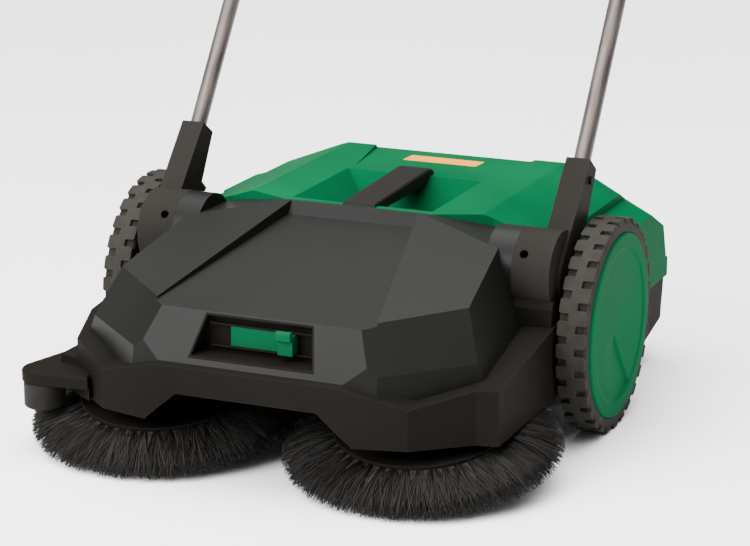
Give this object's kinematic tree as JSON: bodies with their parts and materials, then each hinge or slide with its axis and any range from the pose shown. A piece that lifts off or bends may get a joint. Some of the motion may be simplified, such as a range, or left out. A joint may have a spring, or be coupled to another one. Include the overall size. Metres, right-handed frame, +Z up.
{
  "type": "carpet sweeper",
  "caption": "Push sweeper with tilted disc brushes in front, a roller brush, spoked wheels driving them by belts and gears, a lift-out dirt bin and a folding push handle.",
  "frame": {"origin": "on the floor under the middle of the wheel axle, which is also the middle of the whole box", "axes": "+X across the machine, +Y backwards towards the handle grip (the disc brushes face -Y), +Z up"},
  "size_m": [0.793, 0.9937, 0.956],
  "materials": {
    "hood_plastic": "satin dark grey moulded plastic, fine grain",
    "black_plastic": "matt black moulded plastic",
    "green_plastic": "satin green moulded plastic",
    "tyre_rubber": "matt black block-tread tyre",
    "bristle": "black polypropylene bristles",
    "soft_rubber": "matt black rubber and foam",
    "aluminium_tube": "satin drawn tube",
    "steel": "zinc-plated",
    "bronze": "sintered bushes"
  },
  "bodies": {
    "chassis": {"chassis_frame": "black_plastic", "front_hood": "hood_plastic", "slider_bezel": "black_plastic", "corner_arm": "black_plastic", "guide_roller_pin": "steel", "roller_tunnel": "black_plastic", "sweeping_seal": "soft_rubber", "brush_spindles": "steel", "spindle_nuts": "steel", "pivot_stubs": "steel", "axle_bearings": "bronze", "layshaft_bearings": "bronze", "roller_bearings": "bronze", "front_belt_left": "soft_rubber", "front_belt_right": "soft_rubber", "roller_belt": "soft_rubber", "hood_screws": "steel", "lever_bracket": "steel"},
    "handle": {"carrier_left": "black_plastic", "carrier_right": "black_plastic", "side_tube_left": "aluminium_tube", "side_tube_right": "aluminium_tube", "handle_crossbar": "aluminium_tube", "handle_grip": "soft_rubber", "tube_couplers": "black_plastic", "socket_bolts": "steel"},
    "bin": {"bin_cover": "green_plastic", "bin_tub": "black_plastic", "bin_grip": "black_plastic"},
    "roller_brush": {"roller_core": "steel", "roller_bristles": "bristle", "roller_pulley": "black_plastic"},
    "height_slider": {"height_slider": "green_plastic"},
    "guide_roller": {"guide_roller": "black_plastic"},
    "support_lever": {"support_lever": "black_plastic"},
    "support_roller": {"support_roller": "black_plastic"},
    "wheel_left": {"tyre_left": "tyre_rubber", "rim_left": "black_plastic", "wheel_cap_left": "green_plastic", "wheel_axle_left": "steel", "wheel_pulley_left": "black_plastic"},
    "layshaft_left": {"layshaft_left": "steel", "layshaft_pulley_left": "black_plastic", "pinion_left": "black_plastic"},
    "disc_brush_left": {"brush_disc_left": "black_plastic", "crown_gear_left": "black_plastic", "disc_bristles_left": "bristle"},
    "wheel_right": {"tyre_right": "tyre_rubber", "rim_right": "black_plastic", "wheel_cap_right": "green_plastic", "wheel_axle_right": "steel", "wheel_pulley_right": "black_plastic"},
    "layshaft_right": {"layshaft_right": "steel", "layshaft_pulley_right": "black_plastic", "pinion_right": "black_plastic"},
    "disc_brush_right": {"brush_disc_right": "black_plastic", "crown_gear_right": "black_plastic", "disc_bristles_right": "bristle"}
  },
  "joints": [
    {"name": "handle_pivot", "type": "hinge", "parent": "chassis", "child": "handle", "pos_m": [0, -0.09, 0.254], "axis": [1, 0, 0], "range_deg": [0, 120]},
    {"name": "bin_lift", "type": "slide", "parent": "chassis", "child": "bin", "axis": [0, 0, 1], "range_m": [0, 0.06]},
    {"name": "height_slide", "type": "slide", "parent": "chassis", "child": "height_slider", "axis": [1, 0, 0], "range_m": [-0.03, 0]},
    {"name": "support_pivot", "type": "hinge", "parent": "chassis", "child": "support_lever", "pos_m": [0, -0.19, 0.11], "axis": [1, 0, 0], "range_deg": [0, 15]},
    {"name": "support_roller_spin", "type": "hinge", "parent": "support_lever", "child": "support_roller", "pos_m": [0, -0.14, 0.025], "axis": [1, 0, 0], "continuous": true},
    {"name": "guide_roller_spin", "type": "hinge", "parent": "chassis", "child": "guide_roller", "pos_m": [-0.345, -0.4, 0.08], "axis": [0, 0, 1], "continuous": true},
    {"name": "wheel_left_spin", "type": "hinge", "parent": "chassis", "child": "wheel_left", "pos_m": [0, 0, 0.1575], "axis": [1, 0, 0], "continuous": true},
    {"name": "layshaft_left_spin", "type": "hinge", "parent": "chassis", "child": "layshaft_left", "pos_m": [0, -0.31351, 0.10923], "axis": [1, 0, 0], "continuous": true},
    {"name": "disc_brush_left_spin", "type": "hinge", "parent": "chassis", "child": "disc_brush_left", "pos_m": [-0.1985, -0.30031, 0.03438], "axis": [0, -0.1736, 0.9848], "continuous": true},
    {"name": "wheel_right_spin", "type": "hinge", "parent": "chassis", "child": "wheel_right", "pos_m": [0, 0, 0.1575], "axis": [1, 0, 0], "continuous": true},
    {"name": "layshaft_right_spin", "type": "hinge", "parent": "chassis", "child": "layshaft_right", "pos_m": [0, -0.31351, 0.10923], "axis": [1, 0, 0], "continuous": true},
    {"name": "disc_brush_right_spin", "type": "hinge", "parent": "chassis", "child": "disc_brush_right", "pos_m": [0.1985, -0.30031, 0.03438], "axis": [0, -0.1736, 0.9848], "continuous": true},
    {"name": "roller_brush_spin", "type": "hinge", "parent": "chassis", "child": "roller_brush", "pos_m": [0, 0.008, 0.046], "axis": [1, 0, 0], "continuous": true}
  ],
  "couplings": [
    {"joint": "support_pivot", "follows": "height_slide", "rad_per_m": -8.7266},
    {"joint": "layshaft_left_spin", "follows": "wheel_left_spin", "ratio": 2.5},
    {"joint": "disc_brush_left_spin", "follows": "wheel_left_spin", "ratio": 1.25},
    {"joint": "layshaft_right_spin", "follows": "wheel_right_spin", "ratio": 2.5},
    {"joint": "disc_brush_right_spin", "follows": "wheel_right_spin", "ratio": -1.25},
    {"joint": "roller_brush_spin", "follows": "wheel_right_spin", "ratio": 3}
  ]
}
